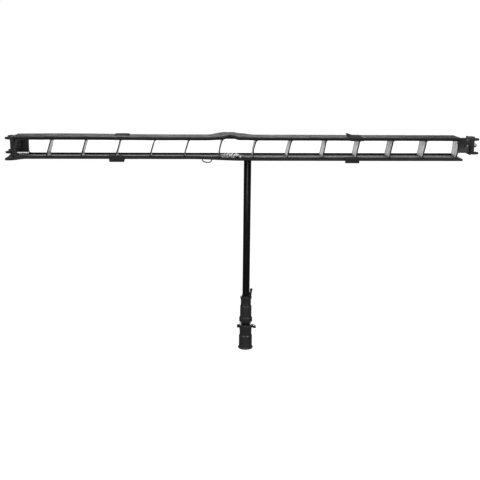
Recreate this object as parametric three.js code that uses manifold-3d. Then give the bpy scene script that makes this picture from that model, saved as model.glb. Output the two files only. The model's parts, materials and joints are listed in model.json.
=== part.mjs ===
// A strip softbox: a long LED bar light with a fabric skirt and an egg-crate grid, held by a
// tilting bracket on the top sections of a light stand.
//
// Millimetres, +Z up. The origin is on the axis of the stand's column, at the bottom face of the
// lower collar. The light's length runs along X and its front faces -Y.

import * as THREE from 'three';
import { mergeVertices } from 'three/addons/utils/BufferGeometryUtils.js';
import Module from 'manifold-3d';

const wasm = await Module();
wasm.setup();

// ---------------------------------------------------------------- driving dimensions

// Overall
const lightLength = 1200; // over the outer faces of the two end guards
const lightHeight = 583; // the light's centre line above the origin
const lightOffset = -10.5; // the light's middle from the column's axis, along X
const columnToRail = 34; // from the column's axis forward to the light's rear face
const gap = 0.3; // clearance between pieces that touch
const roundSides = 24; // facets round the larger turned pieces

// Housing: a square extrusion with a front channel, a closed cavity and a rear T-slot
const section = 46;
const sectionCorner = 3;
const lip = 5;
const channelDepth = 16;
const housingWall = 2;
const slotMouth = 10;
const slotWidth = 18;
const slotDepth = 6;
const slotLip = 3;

// Diffuser and electronics
const diffuserWall = 2;
const diffuserCorner = 6;
const diffuserEndGap = 2;
const boardThickness = 1.4;
const boardMargin = 2;
const boardEndGap = 4;
const batteryClear = 1; // round the battery, in depth
const batterySideClear = 2.5;
const batteryEndGap = 74;
const controlLength = 200;
const controlHalf = 16;
const controlEndGap = 44;
const controlStandoff = 2;
const wiringRoom = 70; // between the battery and the control board

// End blocks and end guards
const blockLength = 36;
const blockSetback = 4.5; // behind the housing's front, and before its back
const blockWall = 2.5;
const blockCorner = 3;
const panelInset = 1;
const panelBorder = 5;
const guardLength = 10;
const guardLipLength = 3;
const guardStep = 1.5; // from the guard's lip in to its body
const guardCorner = 5;
const postInset = 3.5; // from the body's side to a post's axis
const postRadius = 4;
const postTipRadius = 3.1;
const postLength = 13;
const postStraight = 3;
const postTipBevel = 1.4;
const guardSeat = 1.7; // depth of the recess round the dial and round the inlet
const seatClear = 0.6; // round the dial and the inlet's flange, in that recess

// Controls
const dialRadius = 5.2;
const dialBevel = 1.2;
const dialLength = 12;
const dialShaftRadius = 3;
const inletRadius = 5.5;
const inletBore = 3.4;
const inletFlange = 7.5;
const inletFlangeThickness = 1.4;
const inletBackLength = 6; // behind the guard
const inletBackWall = 3;
const buttonRadius = 2.6;
const buttonProud = 1.4;
const buttonX = 4; // from the middle of the right block
const buttonZ = 1;
const lensRadius = 1.3;
const lensX = 10.5;
const blockScrewRadius = 2.2;
const blockScrewX = 6; // from the middle of the left block, towards the end
const blockScrewZ = 3;

// Skirt: two fabric flaps, stiffened by a rod in the front hem
const flapThickness = 1.8;
const flapForward = 62; // in front of the light's front face
const flapGrip = 38; // along the housing's top and bottom
const upperFlapShort = 60; // shorter than the light
const lowerFlapShort = 44;
const upperFlapOffset = -16.5;
const lowerFlapOffset = -25;
const hemRadius = 3;
const hemRodRadius = 1.9;
const hemRodInset = 14; // from each end of the hem
const loopRadius = 12;
const loopDrop = 8;
const loopBand = 1.4;
const loopWidth = 8;
const loopX = -101;

// Grid: leaning walls between a top and a bottom strip
const cells = 13;
const gridEndMargin = 15.5; // from the last walls to the flap's ends
const gridDepth = 58;
const gridLean = 12; // the tops stand this far to the right of the bottoms
const gridOffset = -20;
const gridWall = 1.6;
const gridStrip = 1.2;
const gridSetback = 1.5; // behind the flaps' front edge
const tabWidth = 36;
const tabThickness = 1.2;
const tabReach = 92; // back over the flap from its front edge
const tabLap = 3.5; // hangs in front of the grid's strip
const leftTabInset = 284; // from the light's end to the tab's middle
const rightTabInset = 323;

// Stand column
const tubeWall = 1.2;
const riserRadius = 10;
const riserWall = 1.5;
const riserBottom = 50;
const midRadius = riserRadius + gap + tubeWall;
const baseRadius = midRadius + gap + tubeWall;
const midBottom = 3;
const bushWall = 1.3;
const bushLip = 0.8;
const bushLipHeight = 1.3;
const collarShoulder = 2; // between a tube's seat and the bush above it
const collarBevel = 1.5; // round a collar's rims
const collarTaper = 2; // height over which a collar's body narrows to its neck

// Lower collar
const lowerCollarTop = 69;
const lowerSeat = 34.5; // top of the base tube inside the collar
const lowerBodyWall = 5.2;
const lowerFlangeStep = 2.3;
const lowerNeckWall = 3.4;
const lowerRimStep = 0.6;
const lowerFlangeHeight = 3.5;
const lowerNeckRise = 2.7; // from the base tube's top to where the body narrows
const lowerRimHeight = 12;
const lowerBoltZ = 57.5;
const lowerLugHalf = 16.5;
const lowerKnobHub = 5;
const lowerKnobHubLength = 5;
const lowerBoltReach = 8; // of the bolt's thread past the lugs
const lowerHeadLength = 6.5;
const lowerKnobBar = [8, 24, 7.5]; // thickness, length, height

// Upper collar
const upperCollarBottom = 73.5;
const upperCollarTop = 152.5;
const upperSeat = 117.5;
const upperBodyWall = 4.3;
const upperFlangeStep = 2.3;
const upperNeckWall = 2.5;
const upperRimStep = 1.3;
const upperFoot = 1.2; // wall at the cone's lower edge
const upperConeHeight = 6;
const upperFlangeHeight = 16.5;
const upperFlangeTaper = 2.9;
const upperNeckRise = 6;
const upperRimHeight = 7;
const upperBoltZ = 143.5;
const upperLugHalf = 10;
const leverLength = 22;
const leverLean = 0.15; // radians from upright
const leverHub = 4.6;
const leverHubLength = 6.7;
const leverRoot = 2.6; // from the lugs out to the arm's middle
const leverArm = [3.4, 3]; // radius at its root and at its end
const leverTip = 4.2;
const upperBoltReach = 5;
const upperHeadLength = 4;

// Clamp lugs behind both collars
const lugThickness = 16;
const lugBehind = 6; // lug material behind the bolt
const lugInFront = 2; // lug material between the bolt and the bush
const splitWidth = 2.4;
const clampBoltRadius = 3;
const clampHeadRadius = 5;
const clampHeadBevel = 1.4;

// Bracket
const spigotRadius = 8;
const spigotFlange = 3;
const spigotHeight = 26;
const spigotPlug = 25;
const sleeveWall = 5.7;
const knobBossRadius = 6.5;
const knobBossLength = 5;
const forkInner = 10;
const forkEar = 6;
const forkRadius = 12;
const forkBase = 6;
const forkFloorGap = 4; // under the tongue
const downTilt = 30; // degrees that the light can face down, which the fork's floor slopes to allow
const knobShaft = 3;
const knobRadius = 13;
const knobThickness = 12;
const tongueRadius = 9.5;
const shoeLength = 70;
const shoeHeight = 34;
const shoeThickness = 6;
const railScrewX = 25;
const railScrewRadius = 2.2;
const railScrewHead = 4.2;
const railScrewHeadLength = 5;
const nutLength = 66;
const tiltBoltRadius = 4;
const tiltHeadRadius = 6.5;
const tiltHeadLength = 5;
const handleHub = 7;
const handleHubLength = 11;
const handleLength = 45;
const handleRoot = 5.5; // half height beside the hub
const handleTip = 3.6; // half height at the round end
const handleThickness = 7;
const tiltBoltEnd = 3; // from the bolt's end to the hub's outer face

// ---------------------------------------------------------------- sizes that follow

const lightForward = columnToRail + section / 2;
const sleeveRadius = spigotRadius + gap + sleeveWall;
const forkFloor = lightHeight - tongueRadius - forkFloorGap;
const spigotTop = forkFloor - forkBase - gap;
const sleeveBottom = spigotTop - spigotHeight + gap;
const spigotBase = spigotTop - spigotHeight - spigotFlange;
const riserTop = spigotBase - gap;

// ---------------------------------------------------------------- materials

function finish(color, roughness, metalness) {
  return new THREE.MeshStandardMaterial({ color, roughness, metalness });
}

const blackTube = finish(0x0b0b0c, 0.28, 0.1);
const darkPlastic = finish(0x2b2c2e, 0.5, 0);
const blackPlastic = finish(0x17181a, 0.55, 0);
const blackAnodised = finish(0x1c1d1f, 0.4, 0.6);
const steel = finish(0x8b8e92, 0.3, 1);
const blackSteel = finish(0x141415, 0.45, 0.8);
const opal = finish(0xfdfdfb, 0.6, 0);
const board = finish(0xe9e7dd, 0.5, 0);
const shrinkWrap = finish(0x2a4a86, 0.45, 0);
const rubber = finish(0x101112, 0.8, 0);
const fabric = finish(0x3b3c3f, 0.9, 0);
const silverFabric = finish(0xc4c7c9, 0.45, 0.3);
const hookTape = finish(0x0e0e0f, 0.95, 0);
const webbing = finish(0xd9dadb, 0.7, 0);
const glassFibre = finish(0xd8d6c8, 0.5, 0);
const lens = finish(0xe8ece9, 0.15, 0);

// ---------------------------------------------------------------- shaping helpers

function toSolid(geometry) {
  const plain = geometry.clone();
  plain.deleteAttribute('normal');
  plain.deleteAttribute('uv');
  const merged = mergeVertices(plain, 1e-4);
  return new wasm.Manifold(new wasm.Mesh({
    numProp: 3,
    vertProperties: new Float32Array(merged.attributes.position.array),
    triVerts: new Uint32Array(merged.index.array),
  }));
}

function toGeometry(solid) {
  const mesh = solid.getMesh();
  const geometry = new THREE.BufferGeometry();
  geometry.setAttribute('position', new THREE.BufferAttribute(mesh.vertProperties, 3));
  geometry.setIndex(new THREE.BufferAttribute(mesh.triVerts, 1));
  geometry.computeVertexNormals();
  return geometry;
}

// A box between two corners.
function block(x0, x1, y0, y1, z0, z1) {
  const box = new THREE.BoxGeometry(x1 - x0, y1 - y0, z1 - z0);
  return toSolid(box.translate((x0 + x1) / 2, (y0 + y1) / 2, (z0 + z1) / 2));
}

// A solid of revolution about Z from [radius, height] points, given anticlockwise.
function turned(points, sides = roundSides) {
  const profile = points.map(([r, z]) => new THREE.Vector2(r, z));
  return toSolid(new THREE.LatheGeometry(profile, sides).rotateX(Math.PI / 2));
}

// A ring about Z: outer and inner radius between two heights.
function ring(outer, inner, z0, z1, sides = roundSides) {
  return turned([[inner, z0], [outer, z0], [outer, z1], [inner, z1], [inner, z0]], sides);
}

// A plain round bar about Z.
function bar(radius, z0, z1, sides = 20) {
  return turned([[0, z0], [radius, z0], [radius, z1], [0, z1]], sides);
}

function alongX(solid, y = 0, z = 0) {
  return solid.rotate([0, 90, 0]).translate([0, y, z]);
}

// The bar's +Z end points back, to +Y.
function alongY(solid, x = 0, z = 0) {
  return solid.rotate([-90, 0, 0]).translate([x, 0, z]);
}

function roundedShape(width, height, corner) {
  const w = width / 2;
  const h = height / 2;
  const shape = new THREE.Shape();
  shape.moveTo(-w + corner, -h);
  shape.lineTo(w - corner, -h);
  shape.absarc(w - corner, -h + corner, corner, -Math.PI / 2, 0);
  shape.lineTo(w, h - corner);
  shape.absarc(w - corner, h - corner, corner, 0, Math.PI / 2);
  shape.lineTo(-w + corner, h);
  shape.absarc(-w + corner, h - corner, corner, Math.PI / 2, Math.PI);
  shape.lineTo(-w, -h + corner);
  shape.absarc(-w + corner, -h + corner, corner, Math.PI, Math.PI * 1.5);
  return shape;
}

// Extrudes a shape drawn in the Y-Z plane from x0 to x1.
function extrudedX(shape, x0, x1, curveSegments = 4) {
  const geometry = new THREE.ExtrudeGeometry(shape, { depth: x1 - x0, bevelEnabled: false, curveSegments });
  const basis = new THREE.Matrix4().makeBasis(
    new THREE.Vector3(0, 1, 0), new THREE.Vector3(0, 0, 1), new THREE.Vector3(1, 0, 0));
  return toSolid(geometry.applyMatrix4(basis).translate(x0, 0, 0));
}

// Extrudes a shape drawn in the X-Z plane from y0 back to y1.
function extrudedY(shape, y0, y1, curveSegments = 6) {
  const geometry = new THREE.ExtrudeGeometry(shape, { depth: y1 - y0, bevelEnabled: false, curveSegments });
  return toSolid(geometry.rotateX(Math.PI / 2).translate(0, y1, 0));
}

function add(group, name, solid, material) {
  const mesh = new THREE.Mesh(toGeometry(solid), material);
  mesh.name = name;
  group.add(mesh);
}

// ---------------------------------------------------------------- stand column

// Clamp lugs behind a collar: a block with the bolt's hole, still without its split.
function clampLugs(half, boltY, boltZ) {
  const lugs = block(-half, half, 0, boltY + lugBehind, boltZ - lugThickness / 2, boltZ + lugThickness / 2);
  const hole = alongX(bar(clampBoltRadius + gap, -half - 1, half + 1, 16), boltY, boltZ);
  return { lugs, hole };
}

function collar(outline, lugs, seatRadius, seatTop, throatRadius, bushRadius, bottom, top) {
  const seat = bar(seatRadius, bottom - 1, seatTop, roundSides);
  const throat = bar(throatRadius, bottom - 1, top + 1, roundSides);
  const bushSeat = bar(bushRadius, seatTop + collarShoulder, top + 1, roundSides);
  const split = block(-splitWidth / 2, splitWidth / 2, 0, 60, seatTop + collarShoulder, top + 1);
  return turned(outline).add(lugs.lugs).subtract(lugs.hole).subtract(seat).subtract(throat)
    .subtract(bushSeat).subtract(split);
}

// A flanged plastic sleeve between a collar and the tube that slides in it.
function bush(tubeRadius, z0, top) {
  const inner = tubeRadius + gap;
  const outer = inner + bushWall;
  const lipBottom = top + gap;
  const lipTop = lipBottom + bushLipHeight;
  return turned([[inner, z0], [outer, z0], [outer, lipBottom], [outer + bushLip, lipBottom],
    [outer + bushLip, lipTop], [inner, lipTop], [inner, z0]]);
}

function clampBolt(half, boltY, boltZ, reach, headLength) {
  const under = -half - gap;
  const end = under - headLength;
  const shank = bar(clampBoltRadius, under - 1, half + reach, 16);
  const head = turned([[0, end], [clampHeadRadius - clampHeadBevel, end],
    [clampHeadRadius, end + clampHeadBevel], [clampHeadRadius, under], [0, under]], 18);
  return alongX(shank.add(head), boltY, boltZ);
}

const lowerBushSeat = midRadius + gap + bushWall + gap;
const upperBushSeat = riserRadius + gap + bushWall + gap;
const lowerBoltY = lowerBushSeat + clampBoltRadius + lugInFront;
const upperBoltY = upperBushSeat + clampBoltRadius + lugInFront;

function standBase() {
  const group = new THREE.Group();
  add(group, 'base_tube', ring(baseRadius, baseRadius - tubeWall, 0, lowerSeat - gap), blackTube);

  const body = baseRadius + gap + lowerBodyWall;
  const flange = body + lowerFlangeStep;
  const neck = lowerBushSeat + lowerNeckWall;
  const rim = neck + lowerRimStep;
  const top = lowerCollarTop;
  const neckStart = lowerSeat + lowerNeckRise;
  const outline = [
    [0, 0], [flange, 0], [flange, lowerFlangeHeight], [body, lowerFlangeHeight + collarBevel],
    [body, neckStart], [neck, neckStart + collarTaper], [neck, top - lowerRimHeight - collarBevel],
    [rim, top - lowerRimHeight], [rim, top - collarBevel], [rim - collarBevel, top], [0, top],
  ];
  const lugs = clampLugs(lowerLugHalf, lowerBoltY, lowerBoltZ);
  add(group, 'lower_collar', collar(outline, lugs, baseRadius + gap, lowerSeat, midRadius + 2 * gap,
    lowerBushSeat, 0, lowerCollarTop), darkPlastic);
  add(group, 'lower_bush', bush(midRadius, lowerSeat + collarShoulder + gap, lowerCollarTop), blackPlastic);
  const bolt = clampBolt(lowerLugHalf, lowerBoltY, lowerBoltZ, lowerBoltReach, lowerHeadLength);
  add(group, 'lower_clamp_bolt', bolt, blackSteel);

  // T-shaped clamp knob: a hub on the bolt and a cross bar.
  const hubStart = lowerLugHalf + gap;
  const barStart = hubStart + lowerKnobHubLength;
  const [thickness, length, height] = lowerKnobBar;
  const hub = alongX(bar(lowerKnobHub, hubStart, barStart + 1, 18), lowerBoltY, lowerBoltZ);
  const crossBar = extrudedX(roundedShape(length, height, 3.2), barStart, barStart + thickness)
    .translate([0, lowerBoltY, lowerBoltZ]);
  const boreEnd = lowerLugHalf + lowerBoltReach + gap;
  const bore = alongX(bar(clampBoltRadius + gap, 0, boreEnd, 16), lowerBoltY, lowerBoltZ);
  add(group, 'lower_knob', hub.add(crossBar).subtract(bore), darkPlastic);
  return group;
}

function standMiddle() {
  const group = new THREE.Group();
  add(group, 'mid_tube', ring(midRadius, midRadius - tubeWall, midBottom, upperSeat - gap), blackTube);

  const bottom = upperCollarBottom;
  const top = upperCollarTop;
  const neckStart = upperSeat + upperNeckRise;
  const body = midRadius + gap + upperBodyWall;
  const flange = body + upperFlangeStep;
  const neck = upperBushSeat + upperNeckWall;
  const rim = neck + upperRimStep;
  const outline = [
    [0, bottom], [midRadius + upperFoot, bottom], [flange, bottom + upperConeHeight],
    [flange, bottom + upperFlangeHeight], [body, bottom + upperFlangeHeight + upperFlangeTaper],
    [body, neckStart], [neck, neckStart + collarTaper], [neck, top - upperRimHeight - collarBevel],
    [rim, top - upperRimHeight], [rim, top - collarBevel], [rim - collarBevel, top], [0, top],
  ];
  const lugs = clampLugs(upperLugHalf, upperBoltY, upperBoltZ);
  add(group, 'upper_collar', collar(outline, lugs, midRadius + gap, upperSeat, riserRadius + 2 * gap,
    upperBushSeat, bottom, upperCollarTop), darkPlastic);
  add(group, 'upper_bush', bush(riserRadius, upperSeat + collarShoulder + gap, upperCollarTop), blackPlastic);
  const bolt = clampBolt(upperLugHalf, upperBoltY, upperBoltZ, upperBoltReach, upperHeadLength);
  add(group, 'upper_clamp_bolt', bolt, blackSteel);

  // Clamp lever: a hub on the bolt and an arm that leans up and outwards to a round tip.
  const rootX = upperLugHalf + leverRoot;
  const hubStart = upperLugHalf + gap;
  const hub = alongX(bar(leverHub, hubStart, hubStart + leverHubLength, 18), upperBoltY, upperBoltZ);
  const [rootRadius, endRadius] = leverArm;
  const arm = toSolid(new THREE.CylinderGeometry(endRadius, rootRadius, leverLength, 12).rotateX(Math.PI / 2)
    .translate(0, 0, leverLength / 2).rotateY(leverLean).translate(rootX, upperBoltY, upperBoltZ));
  const tip = toSolid(new THREE.SphereGeometry(leverTip, 12, 6)
    .translate(rootX + leverLength * Math.sin(leverLean), upperBoltY,
      upperBoltZ + leverLength * Math.cos(leverLean)));
  const boreEnd = upperLugHalf + upperBoltReach + gap;
  const bore = alongX(bar(clampBoltRadius + gap, 0, boreEnd, 16), upperBoltY, upperBoltZ);
  const lugClear = block(-20, hubStart, -30, 40, upperBoltZ - 30, upperBoltZ + 40);
  add(group, 'upper_lever', hub.add(arm).add(tip).subtract(bore).subtract(lugClear), darkPlastic);
  return group;
}

function standRiser() {
  const group = new THREE.Group();
  const inner = riserRadius - riserWall;
  add(group, 'riser_tube', ring(riserRadius, inner, riserBottom, riserTop), blackTube);
  const plug = inner - gap;
  const spigot = turned([
    [0, riserTop - spigotPlug], [plug - 1, riserTop - spigotPlug], [plug, riserTop - spigotPlug + 1],
    [plug, spigotBase], [riserRadius, spigotBase], [riserRadius, spigotBase + spigotFlange],
    [spigotRadius, spigotBase + spigotFlange], [spigotRadius, spigotTop - 1.5],
    [spigotRadius - 1.5, spigotTop], [0, spigotTop],
  ]);
  add(group, 'spigot', spigot, steel);
  return group;
}

// ---------------------------------------------------------------- bracket

const knobZ = (sleeveBottom + spigotTop) / 2;
const knobBoss = sleeveRadius + knobBossLength;

function lobedShape(radius, lobes, depth) {
  const shape = new THREE.Shape();
  const steps = lobes * 8;
  for (let i = 0; i < steps; i += 1) {
    const angle = (i / steps) * 2 * Math.PI;
    const r = radius - depth * (0.5 - 0.5 * Math.cos(lobes * angle));
    if (i === 0) shape.moveTo(r, 0);
    else shape.lineTo(r * Math.cos(angle), r * Math.sin(angle));
  }
  return shape;
}

function receiver() {
  const sleeve = bar(sleeveRadius, sleeveBottom, forkFloor, roundSides);
  const width = forkInner + forkEar;
  const base = block(-width, width, -forkRadius, forkRadius, forkFloor - forkBase, forkFloor);
  const boss = alongY(bar(knobBossRadius, 0, knobBoss, 18), 0, knobZ);
  let body = sleeve.add(base).add(boss);
  for (const side of [-1, 1]) {
    const x0 = side < 0 ? -width : forkInner;
    const ear = block(x0, x0 + forkEar, -forkRadius, forkRadius, forkFloor - 1, lightHeight);
    const crown = alongX(bar(forkRadius, x0, x0 + forkEar, roundSides), 0, lightHeight);
    body = body.add(ear).add(crown);
  }
  const bore = bar(spigotRadius + gap, sleeveBottom - 1, spigotTop + gap, roundSides);
  const knobHole = alongY(bar(knobShaft + gap, 0, knobBoss + 1, 14), 0, knobZ);
  const pivot = alongX(bar(tiltBoltRadius + gap, -width - 1, width + 1, 20), 0, lightHeight);
  const slope = block(-forkInner, forkInner, -40, 0, -tongueRadius - gap, 0).rotate([downTilt, 0, 0])
    .translate([0, 0, lightHeight]);
  return body.subtract(bore).subtract(knobHole).subtract(pivot).subtract(slope);
}

function receiverKnob() {
  const start = knobBoss + gap;
  const head = extrudedY(lobedShape(knobRadius, 6, 2.2), start, start + knobThickness)
    .translate([0, 0, knobZ]);
  const shaft = alongY(bar(knobShaft, spigotRadius + gap, start + 1, 14), 0, knobZ);
  return head.add(shaft);
}

const railFace = section / 2 - lightForward; // the housing's rear face, from the column's axis

function railShoe() {
  const front = railFace + gap;
  const back = front + shoeThickness;
  const plate = extrudedY(roundedShape(shoeLength, shoeHeight, 4), front, back)
    .translate([0, 0, lightHeight]);
  const half = forkInner - gap;
  const web = block(-half, half, back - 1, 0, lightHeight - tongueRadius, lightHeight + tongueRadius);
  const knuckle = alongX(bar(tongueRadius, -half, half, roundSides), 0, lightHeight);
  let shoe = plate.add(web).add(knuckle)
    .subtract(alongX(bar(tiltBoltRadius + gap, -half - 1, half + 1, 20), 0, lightHeight));
  for (const x of [-railScrewX, railScrewX]) {
    shoe = shoe.subtract(alongY(bar(railScrewRadius + gap, front - 1, back + 1, 14), x, lightHeight));
  }
  return shoe;
}

function railNut() {
  const lipBack = railFace - gap;
  const lipFront = railFace - slotLip - gap;
  const head = block(-nutLength / 2, nutLength / 2, railFace - slotLip - slotDepth + gap, lipFront,
    lightHeight - slotWidth / 2 + gap, lightHeight + slotWidth / 2 - gap);
  const neck = block(-nutLength / 2, nutLength / 2, lipFront - 1, lipBack,
    lightHeight - slotMouth / 2 + gap, lightHeight + slotMouth / 2 - gap);
  let nut = head.add(neck);
  for (const x of [-railScrewX, railScrewX]) {
    nut = nut.subtract(alongY(bar(railScrewRadius + gap, -60, 0, 14), x, lightHeight));
  }
  return nut;
}

function railScrew(x) {
  const under = railFace + gap + shoeThickness + gap;
  const tip = railFace - slotLip - slotDepth + 2 * gap;
  const head = bar(railScrewHead, under, under + railScrewHeadLength, 18);
  const socket = bar(2, under + 2, under + railScrewHeadLength + 1, 6);
  const shank = bar(railScrewRadius, tip, under + 1, 14);
  return alongY(head.add(shank).subtract(socket), x, lightHeight);
}

function bracket() {
  const group = new THREE.Group();
  const width = forkInner + forkEar;
  add(group, 'receiver', receiver(), blackPlastic);
  add(group, 'receiver_knob', receiverKnob(), darkPlastic);
  add(group, 'rail_shoe', railShoe(), blackAnodised);
  add(group, 'rail_nut', railNut(), steel);
  add(group, 'left_rail_screw', railScrew(-railScrewX), steel);
  add(group, 'right_rail_screw', railScrew(railScrewX), steel);

  const hubStart = width + gap;
  const hubEnd = hubStart + handleHubLength;
  const headStart = -width - gap - tiltHeadLength;
  const tiltBolt = alongX(bar(tiltBoltRadius, headStart + 1, hubEnd - tiltBoltEnd, 20)
    .add(bar(tiltHeadRadius, headStart, -width - gap, 6)), 0, lightHeight);
  add(group, 'tilt_bolt', tiltBolt, steel);

  const leverShape = new THREE.Shape();
  leverShape.moveTo(0, -handleRoot);
  leverShape.lineTo(handleLength - handleTip, -handleTip);
  leverShape.absarc(handleLength - handleTip, 0, handleTip, -Math.PI / 2, Math.PI / 2);
  leverShape.lineTo(0, handleRoot);
  leverShape.closePath();
  const lever = extrudedX(leverShape, hubEnd - handleThickness, hubEnd, 8).translate([0, 0, lightHeight]);
  const hub = alongX(bar(handleHub, hubStart, hubEnd, 24), 0, lightHeight);
  const bore = alongX(bar(tiltBoltRadius + gap, 0, hubEnd - tiltBoltEnd + gap, 20), 0, lightHeight);
  add(group, 'tilt_handle', hub.add(lever).subtract(bore), darkPlastic);
  return group;
}

// ---------------------------------------------------------------- light, about its own centre line

const frontFace = -section / 2;
const housingHalf = lightLength / 2 - guardLength - blockLength;
const channelHalf = section / 2 - lip;
const channelFloor = frontFace + channelDepth;
const slotFloor = section / 2 - slotLip - slotDepth;
const cavityFront = channelFloor + housingWall;
const cavityBack = slotFloor - housingWall;
const cavityHalf = section / 2 - housingWall;

function housing() {
  const past = housingHalf + 1;
  return extrudedX(roundedShape(section, section, sectionCorner), -housingHalf, housingHalf)
    .subtract(block(-past, past, frontFace - 1, channelFloor, -channelHalf, channelHalf))
    .subtract(block(-past, past, cavityFront, cavityBack, -cavityHalf, cavityHalf))
    .subtract(block(-past, past, slotFloor, section / 2 - slotLip, -slotWidth / 2, slotWidth / 2))
    .subtract(block(-past, past, slotFloor + 1, section / 2 + 1, -slotMouth / 2, slotMouth / 2));
}

function diffuser() {
  const half = housingHalf - diffuserEndGap;
  const height = channelHalf - gap;
  const back = channelFloor - boardThickness - 2 * gap;
  const outer = extrudedY(roundedShape(2 * half, 2 * height, diffuserCorner), frontFace + gap, back, 5);
  const inner = extrudedY(roundedShape(2 * (half - diffuserWall), 2 * (height - diffuserWall),
    diffuserCorner - diffuserWall), frontFace + gap + diffuserWall, back + 1, 5);
  return outer.subtract(inner);
}

function controlBoard() {
  const front = cavityFront + controlStandoff;
  const end = housingHalf - controlEndGap;
  const start = end - controlLength;
  let board = block(start, end, front, front + boardThickness, -controlHalf, controlHalf);
  for (let i = 0; i < 4; i += 1) {
    const x = start + controlLength * (0.14 + 0.22 * i);
    board = board.add(block(x, x + 18, front + boardThickness / 2, front + 6 - i, -9 + i, 9 - i));
  }
  return board;
}

function batteryPack() {
  const start = -housingHalf + batteryEndGap;
  const end = housingHalf - controlEndGap - controlLength - wiringRoom;
  const half = cavityHalf - batterySideClear;
  return block(start, end, cavityFront + batteryClear, cavityBack - batteryClear, -half, half);
}

function ledBoard() {
  const half = housingHalf - boardEndGap;
  const height = channelHalf - boardMargin;
  const back = channelFloor - gap;
  return block(-half, half, back - boardThickness, back, -height, height);
}

// In the end pieces, side is -1 for the left end and +1 for the right end.
const blockMiddle = housingHalf + blockLength / 2;
const blockHeight = section - 2 * lip;
const blockDepth = section - 2 * blockSetback;
const guardBody = section - 2 * guardStep;
const postPitch = guardBody - 2 * postInset;

function endBlock(side) {
  const half = blockLength / 2 - gap;
  const outer = extrudedX(roundedShape(blockDepth, blockHeight, blockCorner), -half, half);
  const inner = extrudedX(roundedShape(blockDepth - 2 * blockWall, blockHeight - 2 * blockWall, 1.5),
    side < 0 ? -half + blockWall : -half - 1, side < 0 ? half + 1 : half - blockWall);
  let body = outer.subtract(inner);
  const front = -blockDepth / 2;
  if (side > 0) {
    const panel = block(-half + panelBorder, half - panelBorder, front - 1, front + panelInset,
      -blockHeight / 2 + panelBorder, blockHeight / 2 - panelBorder);
    body = body.subtract(panel)
      .subtract(alongY(bar(buttonRadius + gap, front - 1, front + 6, 18), buttonX, buttonZ))
      .subtract(alongY(bar(lensRadius + gap, front - 1, front + 6, 14), lensX, buttonZ))
      .subtract(alongX(bar(dialShaftRadius + gap, 0, half + 1, 18)));
  } else {
    body = body
      .subtract(alongY(bar(1.2 + gap, front - 1, front + 6, 14), -blockScrewX, blockScrewZ))
      .subtract(alongX(bar(inletRadius + gap, -half - 1, 0, 18)));
  }
  return body.translate([side * blockMiddle, 0, 0]);
}

const guardStart = lightLength / 2 - guardLength;
const guardEnd = lightLength / 2;

function endGuard(side, boreRadius, seatRadius) {
  const lipEnd = guardStart + guardLipLength;
  const lipPlate = extrudedX(roundedShape(section, section, guardCorner), guardStart, lipEnd);
  const body = extrudedX(roundedShape(guardBody, guardBody, guardCorner), guardStart, guardEnd);
  let guard = lipPlate.add(body);
  for (const y of [-postPitch / 2, postPitch / 2]) {
    for (const z of [-postPitch / 2, postPitch / 2]) {
      const tip = guardEnd + postLength;
      const post = turned([[0, guardEnd - 2], [postRadius, guardEnd - 2],
        [postRadius, guardEnd + postStraight], [postTipRadius, tip - postTipBevel],
        [postTipRadius - postTipBevel, tip], [0, tip]], 12);
      guard = guard.add(alongX(post, y, z));
    }
  }
  guard = guard.subtract(alongX(bar(boreRadius + gap, guardStart - 1, guardEnd + 1, 20)))
    .subtract(alongX(bar(seatRadius + seatClear, guardEnd - guardSeat, guardEnd + 1)));
  return side < 0 ? guard.mirror([1, 0, 0]) : guard;
}

function controlDial() {
  const start = guardEnd - guardSeat + gap;
  const end = guardEnd + dialLength;
  const knob = turned([[0, start], [dialRadius, start], [dialRadius, end - dialBevel],
    [dialRadius - dialBevel, end], [0, end]]);
  return alongX(knob.add(bar(dialShaftRadius, guardStart - 8, start + 1, 20)));
}

function powerInlet() {
  const seat = guardEnd - guardSeat + gap;
  const end = guardStart - inletBackLength;
  const socket = ring(inletRadius, inletBore, end + inletBackWall - 1, seat + inletFlangeThickness, 20);
  const flange = ring(inletFlange, inletBore, seat, seat + inletFlangeThickness, 20);
  const back = bar(inletRadius, end, end + inletBackWall, 20);
  return alongX(socket.add(flange).add(back)).mirror([1, 0, 0]);
}

function powerButton() {
  const wallFront = -blockDepth / 2 + panelInset;
  const wallBack = -blockDepth / 2 + blockWall;
  const button = turned([[0, wallFront - buttonProud], [buttonRadius - 0.5, wallFront - buttonProud],
    [buttonRadius, wallFront - buttonProud + 0.5], [buttonRadius, wallBack + gap],
    [buttonRadius + 1, wallBack + gap], [buttonRadius + 1, wallBack + gap + 1.2],
    [0, wallBack + gap + 1.2]], 18);
  return alongY(button, blockMiddle + buttonX, buttonZ);
}

function statusLens() {
  const wallFront = -blockDepth / 2 + panelInset;
  const lensBody = bar(lensRadius, wallFront - 0.3, -blockDepth / 2 + blockWall + 2, 14);
  return alongY(lensBody, blockMiddle + lensX, buttonZ);
}

function blockScrew() {
  const face = -blockDepth / 2 - gap;
  const head = turned([[0, face - 1.2], [blockScrewRadius - 0.6, face - 1.2], [blockScrewRadius, face - 0.6],
    [blockScrewRadius, face], [0, face]], 16);
  const shank = bar(1.2, face - 0.5, face + 7, 12);
  return alongY(head.add(shank), -blockMiddle - blockScrewX, blockScrewZ);
}

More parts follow.
